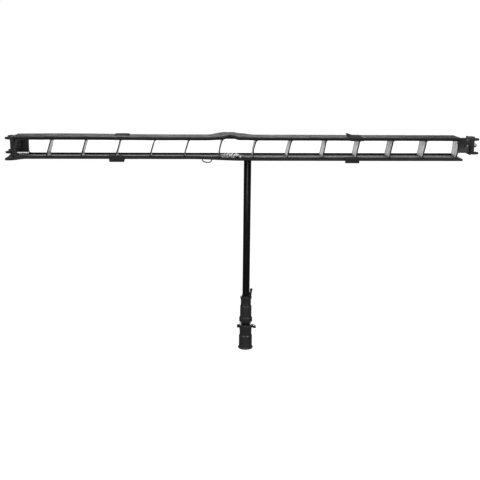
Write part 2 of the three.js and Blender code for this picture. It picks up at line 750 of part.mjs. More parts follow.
function light() {
  const group = new THREE.Group();
  add(group, 'housing', housing(), blackAnodised);
  add(group, 'diffuser', diffuser(), opal);
  add(group, 'led_board', ledBoard(), board);
  add(group, 'battery_pack', batteryPack(), shrinkWrap);
  add(group, 'control_board', controlBoard(), board);
  add(group, 'left_end_block', endBlock(-1), blackPlastic);
  add(group, 'right_end_block', endBlock(1), darkPlastic);
  add(group, 'left_end_guard', endGuard(-1, inletRadius, inletFlange), rubber);
  add(group, 'right_end_guard', endGuard(1, dialShaftRadius, dialRadius), rubber);
  add(group, 'control_dial', controlDial(), steel);
  add(group, 'power_inlet', powerInlet(), blackPlastic);
  add(group, 'power_button', powerButton(), rubber);
  add(group, 'status_lens', statusLens(), lens);
  add(group, 'block_screw', blockScrew(), steel);
  return group;
}

// ---------------------------------------------------------------- skirt

const flapInner = section / 2 + gap;
const flapOuter = flapInner + flapThickness;
const flapFront = frontFace - flapForward;
const flapBack = frontFace + flapGrip;
const hemY = flapFront + hemRadius;
const upperFlapLength = lightLength - upperFlapShort;
const lowerFlapLength = lightLength - lowerFlapShort;
const hemZ = flapInner + hemRadius;

function flap(length, offset) {
  const x0 = offset - length / 2;
  const x1 = offset + length / 2;
  const sheet = block(x0, x1, hemY, flapBack, flapInner, flapOuter);
  const hem = alongX(bar(hemRadius, x0, x1, 16), hemY, hemZ);
  const pocket = alongX(bar(hemRodRadius + gap, x0 - 1, x1 + 1, 12), hemY, hemZ);
  return sheet.add(hem).subtract(pocket);
}

function hemRod(length, offset) {
  const half = length / 2 - hemRodInset;
  return alongX(bar(hemRodRadius, offset - half, offset + half, 10), hemY, hemZ);
}

function pullLoop() {
  const top = -hemZ - hemRadius - gap;
  const outline = new THREE.Shape();
  outline.absellipse(0, top, loopRadius, loopDrop, Math.PI, 2 * Math.PI);
  outline.lineTo(loopRadius - loopBand, top);
  outline.absellipse(0, top, loopRadius - loopBand, loopDrop - loopBand, 2 * Math.PI, Math.PI, true);
  outline.closePath();
  return extrudedY(outline, hemY - loopWidth / 2, hemY + loopWidth / 2, 12).translate([loopX, 0, 0]);
}

function skirt() {
  const group = new THREE.Group();
  add(group, 'upper_flap', flap(upperFlapLength, upperFlapOffset), fabric);
  add(group, 'lower_flap', flap(lowerFlapLength, lowerFlapOffset).mirror([0, 0, 1]), fabric);
  add(group, 'upper_hem_rod', hemRod(upperFlapLength, upperFlapOffset), glassFibre);
  add(group, 'lower_hem_rod', hemRod(lowerFlapLength, lowerFlapOffset).mirror([0, 0, 1]), glassFibre);
  add(group, 'pull_loop', pullLoop(), webbing);
  return group;
}

// ---------------------------------------------------------------- grid

const gridFront = flapFront + gridSetback;
const gridBack = gridFront + gridDepth;
const stripOuter = flapInner - gap;
const wallHalf = stripOuter - gridStrip - gap;
const cellPitch = (upperFlapLength - 2 * gridEndMargin) / cells;

function leaningWall(x) {
  const wall = new THREE.BoxGeometry(gridWall, gridDepth, 2 * wallHalf);
  const shear = new THREE.Matrix4().makeShear(0, 0, 0, 0, gridLean / (2 * wallHalf), 0);
  return toSolid(wall.applyMatrix4(shear).translate(x, (gridFront + gridBack) / 2, 0));
}

function gridEdge(side) {
  const middle = gridOffset + side * gridLean / 2;
  const half = cells * cellPitch / 2 + 4;
  const z0 = side > 0 ? stripOuter - gridStrip : -stripOuter;
  return block(middle - half, middle + half, gridFront, gridBack, z0, z0 + gridStrip);
}

// A hook-and-loop tab that folds forward round a flap's hem and lies back over it.
function foldedTab(place, side) {
  const x0 = place - tabWidth / 2;
  const x1 = place + tabWidth / 2;
  const over = hemZ + hemRadius + gap;
  const front = flapFront - gap;
  const face = block(x0, x1, front - tabThickness, front, stripOuter - tabLap, over + tabThickness);
  const back = block(x0, x1, front - tabThickness, front + tabReach, over, over + tabThickness);
  const tab = face.add(back);
  return side > 0 ? tab : tab.mirror([0, 0, 1]);
}

function grid() {
  const group = new THREE.Group();
  for (let i = 0; i <= cells; i += 1) {
    const x = gridOffset + (i - cells / 2) * cellPitch;
    add(group, `grid_wall_${String(i + 1).padStart(2, '0')}`, leaningWall(x), silverFabric);
  }
  add(group, 'grid_top_strip', gridEdge(1), silverFabric);
  add(group, 'grid_bottom_strip', gridEdge(-1), silverFabric);
  const tabPlaces = { left: leftTabInset - lightLength / 2, right: lightLength / 2 - rightTabInset };
  for (const [name, place] of Object.entries(tabPlaces)) {
    add(group, `upper_${name}_tab`, foldedTab(place, 1), hookTape);
    add(group, `lower_${name}_tab`, foldedTab(place - gridLean, -1), hookTape);
  }
  return group;
}

// ---------------------------------------------------------------- assembly

function softbox() {
  const group = new THREE.Group();
  group.add(light(), skirt(), grid());
  group.position.set(lightOffset, -lightForward, lightHeight);
  return group;
}

const model = new THREE.Group();
model.add(standBase(), standMiddle(), standRiser(), bracket(), softbox());

export default model;
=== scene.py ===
"""Looks for the strip softbox: cloth, tape and knurled pieces, and a procedural material for each surface.

Metres throughout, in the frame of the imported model: X along the light, the light's front faces -Y,
+Z up, origin on the stand column's axis at the bottom face of the lower collar.
"""

import json
import math

import bpy
import numpy as np
from mathutils import Matrix, Vector, noise


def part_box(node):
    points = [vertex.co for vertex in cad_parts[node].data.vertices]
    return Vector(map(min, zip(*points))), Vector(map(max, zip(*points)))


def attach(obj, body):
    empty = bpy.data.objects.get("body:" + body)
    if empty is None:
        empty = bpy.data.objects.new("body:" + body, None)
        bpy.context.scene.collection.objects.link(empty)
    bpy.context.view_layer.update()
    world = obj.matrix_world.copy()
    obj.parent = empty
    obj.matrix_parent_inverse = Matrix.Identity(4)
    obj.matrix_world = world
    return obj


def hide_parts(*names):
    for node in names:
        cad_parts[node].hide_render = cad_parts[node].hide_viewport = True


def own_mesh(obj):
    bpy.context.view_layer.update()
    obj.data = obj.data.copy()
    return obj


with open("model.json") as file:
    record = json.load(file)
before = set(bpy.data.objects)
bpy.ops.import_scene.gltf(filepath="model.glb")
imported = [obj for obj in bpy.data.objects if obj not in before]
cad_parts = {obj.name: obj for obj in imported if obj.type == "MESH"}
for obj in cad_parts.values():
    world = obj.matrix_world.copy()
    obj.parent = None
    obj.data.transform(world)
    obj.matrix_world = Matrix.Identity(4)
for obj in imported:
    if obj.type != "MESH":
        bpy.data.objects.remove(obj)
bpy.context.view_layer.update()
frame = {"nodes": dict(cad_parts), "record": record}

MM = 0.001

# Cloth and tape
CLOTH = 1.1 * MM
HEM_RADIUS = 3.0 * MM
HEM_LAP = 11 * MM
WALL_CLOTH = 0.9 * MM
BINDING = 2.6 * MM
BINDING_DEPTH = 4 * MM
TAPE = 1.5 * MM
THREAD_RADIUS = 0.28 * MM
STITCH_PITCH = 4.2 * MM
STITCH_HALF = 0.36 * STITCH_PITCH
RIPSTOP_PITCH = 5.5 * MM
RIBBON_PITCH = 1.2 * MM

scene = bpy.context.scene


# ---------------------------------------------------------------- small helpers


def box(node):
    low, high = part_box(node)
    return Vector(low), Vector(high)


def lerp(a, b, t):
    return a + (b - a) * t


def smooth_step(t):
    t = min(1.0, max(0.0, t))
    return t * t * (3 - 2 * t)


def hump(x, middle, half):
    """A smooth rise from 0 at middle - half to 1 at middle and back to 0."""
    t = (x - middle) / half
    return math.cos(t * math.pi / 2) ** 2 if abs(t) < 1 else 0.0


def rough(x, y, seed, octaves=3):
    """Fractal noise, about -1 to 1, with a different pattern for each seed."""
    return noise.fractal(Vector((x, y, seed)), 1.0, 2.0, octaves)


def spline(points, samples):
    """A smooth curve through (a, b) points, sampled evenly along its parameter."""
    padded = [2 * np.array(points[0]) - np.array(points[1]), *map(np.array, points)]
    padded.append(2 * np.array(points[-1]) - np.array(points[-2]))
    result = []
    spans = len(points) - 1
    for i in range(samples):
        t = i / (samples - 1) * spans
        k = min(int(t), spans - 1)
        f = t - k
        p0, p1, p2, p3 = padded[k : k + 4]
        result.append(
            0.5 * (2 * p1 + (p2 - p0) * f + (2 * p0 - 5 * p1 + 4 * p2 - p3) * f**2
                   + (3 * p1 - p0 - 3 * p2 + p3) * f**3)
        )
    return result


def make_object(name, vertices, faces, materials, face_slots=None):
    mesh = bpy.data.meshes.new(name)
    mesh.from_pydata([tuple(v) for v in vertices], [], faces)
    for material in materials:
        mesh.materials.append(material)
    if face_slots is not None:
        mesh.polygons.foreach_set("material_index", face_slots)
    mesh.polygons.foreach_set("use_smooth", [True] * len(faces))
    mesh.update()
    obj = bpy.data.objects.new(name, mesh)
    scene.collection.objects.link(obj)
    return obj


def cloth(name, middle, thickness, materials, outside=None):
    """A closed thin sheet round a grid of middle points.

    middle is an array [rows, columns, 3]; thickness is a number or an array [rows, columns].
    The first material is on the side that the grid's rows x columns normal points to, the second
    on the other. outside(row, column) may give a slot for both sides and the edge there, or None.
    """
    middle = np.asarray(middle, float)
    rows, columns = middle.shape[:2]
    across = np.gradient(middle, axis=0)
    along = np.gradient(middle, axis=1)
    normal = np.cross(across, along)
    normal /= np.linalg.norm(normal, axis=2, keepdims=True) + 1e-12
    half = (np.zeros((rows, columns)) + thickness)[..., None] / 2
    sides = [(middle + normal * half).reshape(-1, 3), (middle - normal * half).reshape(-1, 3)]
    vertices = np.concatenate(sides)
    count = rows * columns
    faces, slots = [], []
    for r in range(rows - 1):
        for c in range(columns - 1):
            a = r * columns + c
            b = a + columns
            special = outside(r, c) if outside else None
            faces.append((a, b, b + 1, a + 1))
            slots.append(0 if special is None else special)
            faces.append((a + count, a + 1 + count, b + 1 + count, b + count))
            slots.append(1 if special is None else special)
    edge = [r * columns for r in range(rows)]
    edge += [(rows - 1) * columns + c for c in range(1, columns)]
    edge += [r * columns + columns - 1 for r in range(rows - 2, -1, -1)]
    edge += [c for c in range(columns - 2, 0, -1)]
    for i, a in enumerate(edge):
        b = edge[(i + 1) % len(edge)]
        faces.append((a, a + count, b + count, b))
        row = min(min(a, b) // columns, rows - 2)
        column = min(min(a % columns, b % columns), columns - 2)
        slots.append((outside(row, column) if outside else None) or 0)
    slots = [min(s, len(materials) - 1) for s in slots]
    return make_object(name, vertices, faces, materials, slots)


def tube_faces(rings, sides, first=0):
    """Faces of a closed tube made of rings of vertices, the first of which is number first."""
    faces = []
    for ring in range(rings - 1):
        a, b = first + ring * sides, first + (ring + 1) * sides
        for k in range(sides):
            m = (k + 1) % sides
            faces.append((a + k, a + m, b + m, b + k))
    faces.append(tuple(first + k for k in reversed(range(sides))))
    faces.append(tuple(first + (rings - 1) * sides + k for k in range(sides)))
    return faces


def lathe(name, profile, place, material, segments, ridge):
    """Turns (radius, distance along +X) points about X at place. ridge(radius, angle) changes a radius."""
    vertices, faces = [], []
    for radius, x in profile:
        for i in range(segments):
            angle = 2 * math.pi * i / segments
            r = ridge(radius, angle)
            vertices.append(place + Vector((x, r * math.cos(angle), r * math.sin(angle))))
    for ring in range(len(profile) - 1):
        for i in range(segments):
            j = (i + 1) % segments
            a, b = ring * segments, (ring + 1) * segments
            faces.append((a + i, b + i, b + j, a + j))
    faces.append(tuple(range(segments)))
    faces.append(tuple(reversed(range(len(vertices) - segments, len(vertices)))))
    return make_object(name, vertices, [tuple(reversed(f)) for f in faces], [material])


def stitches(name, points, up, material):
    """A row of short raised threads along X: a flattened bead at each point."""
    forward = Vector((1, 0, 0))
    side = forward.cross(up).normalized()
    sides, rings = 6, (-1.0, -0.8, 0.0, 0.8, 1.0)
    girths = (0.25, 0.8, 1.0, 0.8, 0.25)
    vertices, faces = [], []
    for point in points:
        faces += tube_faces(len(rings), sides, len(vertices))
        for t, girth in zip(rings, girths):
            radius = THREAD_RADIUS * girth
            for k in range(sides):
                angle = 2 * math.pi * k / sides
                offset = side * math.cos(angle) * radius + up * math.sin(angle) * radius
                vertices.append(point + forward * t * STITCH_HALF + offset)
    return make_object(name, vertices, faces, [material])


# ---------------------------------------------------------------- material helpers


class Graph:
    """A material's node tree, with short ways to add what these materials use."""

    def __init__(self, name):
        self.material = bpy.data.materials.new(name)
        self.material.use_nodes = True
        self.tree = self.material.node_tree
        self.tree.nodes.clear()
        self.output = self.add("ShaderNodeOutputMaterial")
        self.shader = self.add("ShaderNodeBsdfPrincipled")
        self.link(self.shader.outputs[0], self.output.inputs["Surface"])
        self.place = self.add("ShaderNodeTexCoord").outputs["Object"]

    def add(self, kind, **settings):
        node = self.tree.nodes.new(kind)
        for key, value in settings.items():
            setattr(node, key, value)
        return node

    def link(self, output, socket):
        self.tree.links.new(output, socket)

    def set(self, **values):
        """Sets the shader's sockets by name, with _ for a space."""
        names = {key.replace("_", " ").lower(): value for key, value in values.items()}
        for socket in self.shader.inputs:
            if socket.name.lower() in names:
                socket.default_value = names.pop(socket.name.lower())
        if names:
            raise ValueError(f"no such shader sockets: {sorted(names)}")

    def stretched(self, scale):
        """The object's coordinates, multiplied by scale."""
        mapping = self.add("ShaderNodeMapping")
        mapping.inputs["Scale"].default_value = scale
        self.link(self.place, mapping.inputs["Vector"])
        return mapping.outputs[0]

    def noise(self, scale, detail=3.0, where=None, roughness=0.5):
        node = self.add("ShaderNodeTexNoise")
        node.inputs["Scale"].default_value = scale
        node.inputs["Detail"].default_value = detail
        node.inputs["Roughness"].default_value = roughness
        self.link(where or self.place, node.inputs["Vector"])
        return node.outputs["Fac"]

    def cells(self, scale):
        node = self.add("ShaderNodeTexVoronoi", feature="F1")
        node.inputs["Scale"].default_value = scale
        self.link(self.place, node.inputs["Vector"])
        return node.outputs["Distance"]

    def band(self, direction, pitch):
        """Waves across direction, one every pitch metres."""
        node = self.add("ShaderNodeTexWave", bands_direction=direction, wave_profile="SIN")
        node.inputs["Scale"].default_value = math.pi / 10 / pitch
        node.inputs["Distortion"].default_value = 0.0
        self.link(self.place, node.inputs["Vector"])
        return node.outputs["Fac"]

    def math(self, operation, a, b=0.0):
        node = self.add("ShaderNodeMath", operation=operation)
        for socket, value in zip(node.inputs, (a, b)):
            if isinstance(value, (int, float)):
                socket.default_value = value
            else:
                self.link(value, socket)
        return node.outputs[0]

    def between(self, factor, low, high, start=0.0, end=1.0):
        """Maps factor from start..end to low..high."""
        node = self.add("ShaderNodeMapRange")
        limits = (("From Min", start), ("From Max", end), ("To Min", low), ("To Max", high))
        for key, value in limits:
            node.inputs[key].default_value = value
        self.link(factor, node.inputs["Value"])
        return node.outputs[0]

    def mix(self, factor, a, b):
        node = self.add("ShaderNodeMix", data_type="RGBA")
        for socket, value in zip((node.inputs[0], node.inputs[6], node.inputs[7]), (factor, a, b)):
            if isinstance(value, (tuple, list)):
                socket.default_value = (*value, 1.0)[:4]
            elif isinstance(value, (int, float)):
                socket.default_value = value
            else:
                self.link(value, socket)
        return node.outputs[2]

    def bump(self, height, distance, strength=1.0, under=None):
        node = self.add("ShaderNodeBump")
        node.inputs["Strength"].default_value = strength
        node.inputs["Distance"].default_value = distance
        self.link(height, node.inputs["Height"])
        if under is not None:
            self.link(under, node.inputs["Normal"])
        return node.outputs[0]

    def worn_edge(self, radius):
        """1 along convex and concave edges, 0 on flats."""
        bevel = self.add("ShaderNodeBevel", samples=4)
        bevel.inputs["Radius"].default_value = radius
        geometry = self.add("ShaderNodeNewGeometry")
        dot = self.add("ShaderNodeVectorMath", operation="DOT_PRODUCT")
        self.link(bevel.outputs[0], dot.inputs[0])
        self.link(geometry.outputs["Normal"], dot.inputs[1])
        return self.between(dot.outputs["Value"], 1.0, 0.0, 0.86, 0.995)

    def finish(self, color=None, roughness=None, normal=None):
        for value, name in ((color, "Base Color"), (roughness, "Roughness"), (normal, "Normal")):
            if value is not None:
                self.link(value, self.shader.inputs[name])
        return self.material


def woven(g, pitch, distance, under=None):
    """Plain weave of the given thread pitch, in whichever two axes the surface runs along."""
    threads = g.math("ADD", g.band("X", pitch), g.band("Y", pitch))
    threads = g.math("ADD", threads, g.band("Z", pitch))
    return g.bump(threads, distance, 0.8, under)


# ---------------------------------------------------------------- materials


def black_enamel():
    g = Graph("black_enamel")
    streak = g.noise(26, 4, g.stretched((14, 14, 1.2)))
    color = g.mix(g.between(streak, 0, 1, 0.35, 0.7), (0.0025, 0.0025, 0.003), (0.007, 0.007, 0.008))
    roughness = g.between(streak, 0.24, 0.38, 0.3, 0.7)
    peel = g.bump(g.noise(260, 2), 0.03 * MM, 0.2)
    g.set(coat_weight=0.15, coat_roughness=0.16, specular_ior_level=0.4)
    return g.finish(color, roughness, peel)


def moulded(name, dark, pale, roughness, worn=(0.12, 0.12, 0.125), coat=0.0):
    """Moulded plastic: fine spark-eroded grain, mottled colour, edges rubbed paler."""
    g = Graph(name)
    mottle = g.noise(55, 4)
    color = g.mix(g.between(mottle, 0, 1, 0.3, 0.7), dark, pale)
    edges = g.worn_edge(0.7 * MM)
    patchy = g.math("MULTIPLY", edges, g.between(g.noise(160, 3), 0.15, 0.8, 0.35, 0.65))
    color = g.mix(patchy, color, worn)
    rough_map = g.between(g.noise(210, 3), roughness - 0.07, roughness + 0.08, 0.3, 0.7)
    normal = g.bump(g.noise(1400, 2), 0.05 * MM, 0.6)
    g.set(specular_ior_level=0.5, coat_weight=coat, coat_roughness=0.2)
    return g.finish(color, rough_map, normal)


def anodised():
    g = Graph("black_anodised")
    lines = g.noise(300, 3, g.stretched((0.02, 1, 1)))
    color = g.mix(g.between(lines, 0, 1, 0.35, 0.65), (0.012, 0.0125, 0.014), (0.028, 0.029, 0.032))
    color = g.mix(g.math("MULTIPLY", g.worn_edge(0.6 * MM), 0.6), color, (0.22, 0.22, 0.23))
    roughness = g.between(g.noise(30, 3), 0.32, 0.44, 0.3, 0.7)
    normal = g.bump(lines, 0.03 * MM, 0.5)
    g.set(metallic=0.75)
    return g.finish(color, roughness, normal)


def turned_steel():
    g = Graph("turned_steel")
    grain = g.noise(420, 4, g.stretched((1, 0.25, 1)))
    color = g.mix(grain, (0.36, 0.37, 0.39), (0.62, 0.63, 0.65))
    roughness = g.between(g.noise(140, 3), 0.24, 0.42, 0.3, 0.7)
    g.set(metallic=1.0)
    return g.finish(color, roughness, g.bump(grain, 0.03 * MM, 0.5))


def blackened_steel():
    g = Graph("blackened_steel")
    grain = g.noise(380, 4)
    color = g.mix(grain, (0.006, 0.006, 0.007), (0.02, 0.02, 0.021))
    color = g.mix(g.math("MULTIPLY", g.worn_edge(0.5 * MM), 0.5), color, (0.16, 0.16, 0.165))
    g.set(metallic=0.5)
    return g.finish(color, g.between(grain, 0.34, 0.5), g.bump(grain, 0.04 * MM, 0.5))


def dial_metal():
    g = Graph("dial_metal")
    grain = g.noise(600, 3, g.stretched((0.3, 1, 1)))
    color = g.mix(grain, (0.3, 0.305, 0.315), (0.5, 0.505, 0.52))
    g.set(metallic=0.8)
    return g.finish(color, g.between(grain, 0.36, 0.5), g.bump(grain, 0.02 * MM, 0.5))


def opal():
    """Frosted diffuser, lit from behind: brightest along its middle, a little less at its ends."""
    low, high = box("diffuser")
    g = Graph("opal_diffuser")
    split = g.add("ShaderNodeSeparateXYZ")
    g.link(g.place, split.inputs[0])
    from_middle = g.math("ABSOLUTE", g.math("SUBTRACT", split.outputs["X"], (low.x + high.x) / 2))
    glow = g.between(from_middle, 1.02, 0.95, (high.x - low.x) * 0.46, (high.x - low.x) * 0.5)
    frost = g.noise(1800, 2)
    color = g.mix(g.noise(14, 3), (0.5, 0.5, 0.5), (0.56, 0.56, 0.555))
    g.set(emission_color=(1.0, 1.0, 1.0, 1.0))
    strength = g.math("MULTIPLY", glow, g.between(frost, 0.98, 1.06))
    g.link(strength, g.shader.inputs["Emission Strength"])
    return g.finish(color, g.between(frost, 0.42, 0.55), g.bump(frost, 0.03 * MM, 0.5))


def circuit_board():
    g = Graph("circuit_board")
    chips = g.add("ShaderNodeTexBrick", offset=0.0)
    chips.inputs["Scale"].default_value = 1.0
    chips.inputs["Brick Width"].default_value = 9 * MM
    chips.inputs["Row Height"].default_value = 8 * MM
    chips.inputs["Mortar Size"].default_value = 2.8 * MM
    chips.inputs["Color1"].default_value = (0.85, 0.62, 0.12, 1)
    chips.inputs["Color2"].default_value = (0.88, 0.72, 0.3, 1)
    chips.inputs["Mortar"].default_value = (0.86, 0.86, 0.83, 1)
    turn = g.add("ShaderNodeMapping")
    turn.inputs["Rotation"].default_value = (math.pi / 2, 0, 0)
    g.link(g.place, turn.inputs["Vector"])
    g.link(turn.outputs[0], chips.inputs["Vector"])
    normal = g.bump(chips.outputs["Fac"], 0.4 * MM, 0.6)
    return g.finish(chips.outputs["Color"], g.between(g.noise(200), 0.35, 0.55), normal)


def shrink_film():
    g = Graph("shrink_film")
    crease = g.noise(60, 5, g.stretched((0.3, 1, 2.2)), 0.6)
    color = g.mix(crease, (0.012, 0.04, 0.16), (0.03, 0.09, 0.3))
    return g.finish(color, g.between(crease, 0.2, 0.42), g.bump(crease, 0.8 * MM, 0.5))


def soft_rubber():
    g = Graph("soft_rubber")
    bloom = g.noise(75, 4)
    color = g.mix(g.between(bloom, 0, 1, 0.35, 0.75), (0.006, 0.006, 0.0065), (0.022, 0.022, 0.023))
    color = g.mix(g.math("MULTIPLY", g.worn_edge(0.6 * MM), 0.35), color, (0.07, 0.07, 0.07))
    g.set(sheen_weight=0.12, sheen_roughness=0.6)
    return g.finish(color, g.between(bloom, 0.62, 0.82), g.bump(g.noise(1600, 2), 0.06 * MM, 0.6))


def outer_nylon():
    """Dark grey ripstop: a fine plain weave with a heavier thread every few millimetres."""
    g = Graph("outer_nylon")
    fade = g.noise(9, 4)
    color = g.mix(g.between(fade, 0, 1, 0.3, 0.7), (0.0105, 0.0108, 0.0122), (0.02, 0.0205, 0.023))
    heavy = g.math("MAXIMUM", g.band("X", RIPSTOP_PITCH), g.band("Y", RIPSTOP_PITCH))
    heavy = g.between(heavy, 0, 1, 0.9, 1.0)
    color = g.mix(g.math("MULTIPLY", heavy, 0.3), color, (0.042, 0.043, 0.047))
    crinkle = g.bump(g.noise(95, 4, g.stretched((1, 0.45, 1))), 0.9 * MM, 0.35)
    normal = woven(g, 0.6 * MM, 0.05 * MM, g.bump(heavy, 0.12 * MM, 0.6, crinkle))
    g.set(sheen_weight=0.06, sheen_roughness=0.4, specular_ior_level=0.3)
    return g.finish(color, g.between(g.noise(60), 0.55, 0.72, 0.3, 0.7), normal)


def silver_cloth(name, dark, pale, metallic=0.35, roughness=0.34):
    """Silver-coated reflective lining, with faint creases. roughness is its lower limit."""
    g = Graph(name)
    cloud = g.noise(24, 4)
    color = g.mix(g.between(cloud, 0, 1, 0.3, 0.7), dark, pale)
    crease = g.noise(120, 5, g.stretched((1, 0.5, 0.8)), 0.6)
    normal = woven(g, 0.7 * MM, 0.04 * MM, g.bump(crease, 1.1 * MM, 0.4))
    g.set(metallic=metallic, specular_ior_level=0.5)
    return g.finish(color, g.between(crease, roughness, roughness + 0.2, 0.3, 0.7), normal)


def plain_cloth(name, dark, pale, roughness):
    """Matt woven cloth without a coating. roughness is its lower limit."""
    g = Graph(name)
    color = g.mix(g.noise(40, 4), dark, pale)
    g.set(sheen_weight=0.08, sheen_roughness=0.5)
    rough_map = g.between(g.noise(80), roughness, roughness + 0.2)
    return g.finish(color, rough_map, woven(g, 0.9 * MM, 0.12 * MM))


def hook_tape():
    """Hook-and-loop tape: rows of tiny loops over a dark ground."""
    g = Graph("hook_tape")
    loops = g.cells(1100)
    color = g.mix(g.between(loops, 0, 1, 0.0, 0.6), (0.009, 0.009, 0.0095), (0.002, 0.002, 0.0022))
    color = g.mix(g.between(g.noise(300, 3), 0, 0.5, 0.5, 0.8), color, (0.018, 0.018, 0.019))
    normal = g.bump(g.math("SUBTRACT", 1.0, loops), 0.5 * MM, 0.8)
    g.set(sheen_weight=0.05, sheen_roughness=0.5, specular_ior_level=0.2)
    return g.finish(color, g.between(loops, 0.75, 0.95), normal)


def pale_ribbon():
    g = Graph("pale_ribbon")
    ribs = g.band("Y", RIBBON_PITCH)
    color = g.mix(ribs, (0.09, 0.09, 0.095), (0.24, 0.24, 0.25))
    color = g.mix(g.between(g.noise(120, 3), 0, 0.4), color, (0.3, 0.295, 0.285))
    return g.finish(color, g.between(g.noise(200), 0.55, 0.75), g.bump(ribs, 0.2 * MM, 0.7))


def thread():
    g = Graph("dark_thread")
    twist = g.noise(2600, 2)
    color = g.mix(twist, (0.02, 0.02, 0.022), (0.11, 0.11, 0.115))
    g.set(sheen_weight=0.3, sheen_roughness=0.4)
    return g.finish(color, g.between(twist, 0.45, 0.7), g.bump(twist, 0.1 * MM, 0.6))


def glass_fibre():
    g = Graph("glass_fibre")
    strands = g.noise(700, 4, g.stretched((0.02, 1, 1)))
    color = g.mix(strands, (0.42, 0.4, 0.33), (0.72, 0.7, 0.62))
    return g.finish(color, g.between(strands, 0.3, 0.5), g.bump(strands, 0.1 * MM, 0.6))


def light_pipe():
    g = Graph("light_pipe")
    haze = g.noise(800, 3)
    color = g.mix(haze, (0.62, 0.66, 0.64), (0.85, 0.88, 0.86))
    g.set(coat_weight=0.5, coat_roughness=0.08)
    g.set(emission_color=(0.85, 0.95, 0.9, 1.0), emission_strength=0.25)
    return g.finish(color, g.between(haze, 0.1, 0.2), g.bump(haze, 0.04 * MM, 0.4))


materials = {
    "stand_tube": black_enamel(),
    "collar_plastic": moulded("grey_nylon", (0.021, 0.0215, 0.0235), (0.031, 0.0315, 0.034), 0.36,
                              coat=0.5),
    "black_plastic": moulded("black_plastic", (0.004, 0.004, 0.0045), (0.009, 0.009, 0.01), 0.5,
                             worn=(0.045, 0.045, 0.048)),
    "anodised": anodised(),
    "black_steel": blackened_steel(),
    "steel": turned_steel(),
    "diffuser": opal(),
    "circuit_board": circuit_board(),
    "battery_wrap": shrink_film(),
    "rubber": soft_rubber(),
    "status_lens": light_pipe(),
    "outer_fabric": outer_nylon(),
    "rod_fibre": glass_fibre(),
    "webbing": pale_ribbon(),
    "silver_fabric": silver_cloth("silver_cloth", (0.46, 0.465, 0.475), (0.72, 0.725, 0.735)),
    "hook_tape": hook_tape(),
}
shaded_silver = silver_cloth("shaded_silver", (0.1, 0.104, 0.112), (0.22, 0.225, 0.24))
# a paler, shinier copy of the silver cloth: the shine is real, the paler colour is painted glint
painted_glint_silver = silver_cloth("painted_glint_silver", (0.62, 0.625, 0.635), (0.9, 0.905, 0.91), 0.95, 0.14)
# a paler grey copy of the black plastic: painted light, for the lit right end block
painted_light_end_block = moulded("painted_light_end_block", (0.03, 0.0305, 0.033), (0.045, 0.0455, 0.049), 0.5)
binding = plain_cloth("black_binding", (0.008, 0.008, 0.009), (0.022, 0.022, 0.024), 0.6)
strap = plain_cloth("grey_strap", (0.018, 0.018, 0.02), (0.04, 0.04, 0.043), 0.55)
sewing_thread = thread()
dial_finish = dial_metal()


# ---------------------------------------------------------------- CAD nodes keep their shape

SAME_PLACE = 0.002 * MM
SMOOTH_ANGLE = math.radians(32)
BEVEL_ANGLE = math.radians(40)
FLAT_ANGLE = math.radians(0.5)


def geometry_group(name):
    """An empty geometry node group: (group, what comes in, socket that takes the result)."""
    group = bpy.data.node_groups.new(name, "GeometryNodeTree")
    group.interface.new_socket("Geometry", in_out="INPUT", socket_type="NodeSocketGeometry")
    group.interface.new_socket("Geometry", in_out="OUTPUT", socket_type="NodeSocketGeometry")
    start = group.nodes.new("NodeGroupInput")
    end = group.nodes.new("NodeGroupOutput")
    return group, start.outputs[0], end.inputs[0]


def join_group():
    """Geometry nodes that join a node's loose triangles, so that its edges can be rounded."""
    group, start, end = geometry_group("join_faces")
    merge = group.nodes.new("GeometryNodeMergeByDistance")
    merge.inputs["Distance"].default_value = SAME_PLACE
    drop = group.nodes.new("GeometryNodeRemoveAttribute")
    drop.inputs["Name"].default_value = "custom_normal"
    group.links.new(start, drop.inputs["Geometry"])
    group.links.new(drop.outputs[0], merge.inputs["Geometry"])
    group.links.new(merge.outputs[0], end)
    return group


def smooth_group(angle):
    """Geometry nodes that shade smooth across edges flatter than angle."""
    group, start, end = geometry_group("smooth_by_angle")
    faces = group.nodes.new("GeometryNodeSetShadeSmooth")
    faces.domain = "FACE"
    edges = group.nodes.new("GeometryNodeSetShadeSmooth")
    edges.domain = "EDGE"
    edges.inputs["Shade Smooth"].default_value = False
    turn = group.nodes.new("GeometryNodeInputMeshEdgeAngle")
    compare = group.nodes.new("FunctionNodeCompare")
    compare.data_type = "FLOAT"
    compare.operation = "GREATER_THAN"
    compare.inputs[1].default_value = angle
    group.links.new(turn.outputs["Unsigned Angle"], compare.inputs[0])
    group.links.new(start, faces.inputs["Geometry"])
    group.links.new(faces.outputs[0], edges.inputs["Geometry"])
    group.links.new(compare.outputs[0], edges.inputs["Selection"])
    group.links.new(edges.outputs[0], end)
    return group


join_faces = join_group()
smooth_faces = smooth_group(SMOOTH_ANGLE)

# How far each kind of node's edges are rounded
EDGE_RADIUS = {
    "collar_plastic": 0.9 * MM,
    "black_steel": 0.5 * MM,
    "black_plastic": 0.35 * MM,
    "anodised": 0.35 * MM,
    "rubber": 0.6 * MM,
    "steel": 0.25 * MM,
    "diffuser": 0.5 * MM,
    "stand_tube": 0.2 * MM,
}


def finish_node(node, slot_name):
    """Gives a CAD node its material and rounds its edges."""
    obj = frame["nodes"][node]
    for slot in obj.material_slots:
        slot.material = materials[slot_name]
    obj.modifiers.new("join", "NODES").node_group = join_faces
    planar = obj.modifiers.new("planar", "DECIMATE")
    planar.decimate_type = "DISSOLVE"
    planar.angle_limit = FLAT_ANGLE
    if slot_name in EDGE_RADIUS:
        bevel = obj.modifiers.new("round", "BEVEL")
        bevel.width = EDGE_RADIUS[slot_name]
        bevel.segments = 2
        bevel.limit_method = "ANGLE"
        bevel.angle_limit = BEVEL_ANGLE
        bevel.miter_outer = "MITER_ARC"
    obj.modifiers.new("smooth", "NODES").node_group = smooth_faces


# ---------------------------------------------------------------- skirt

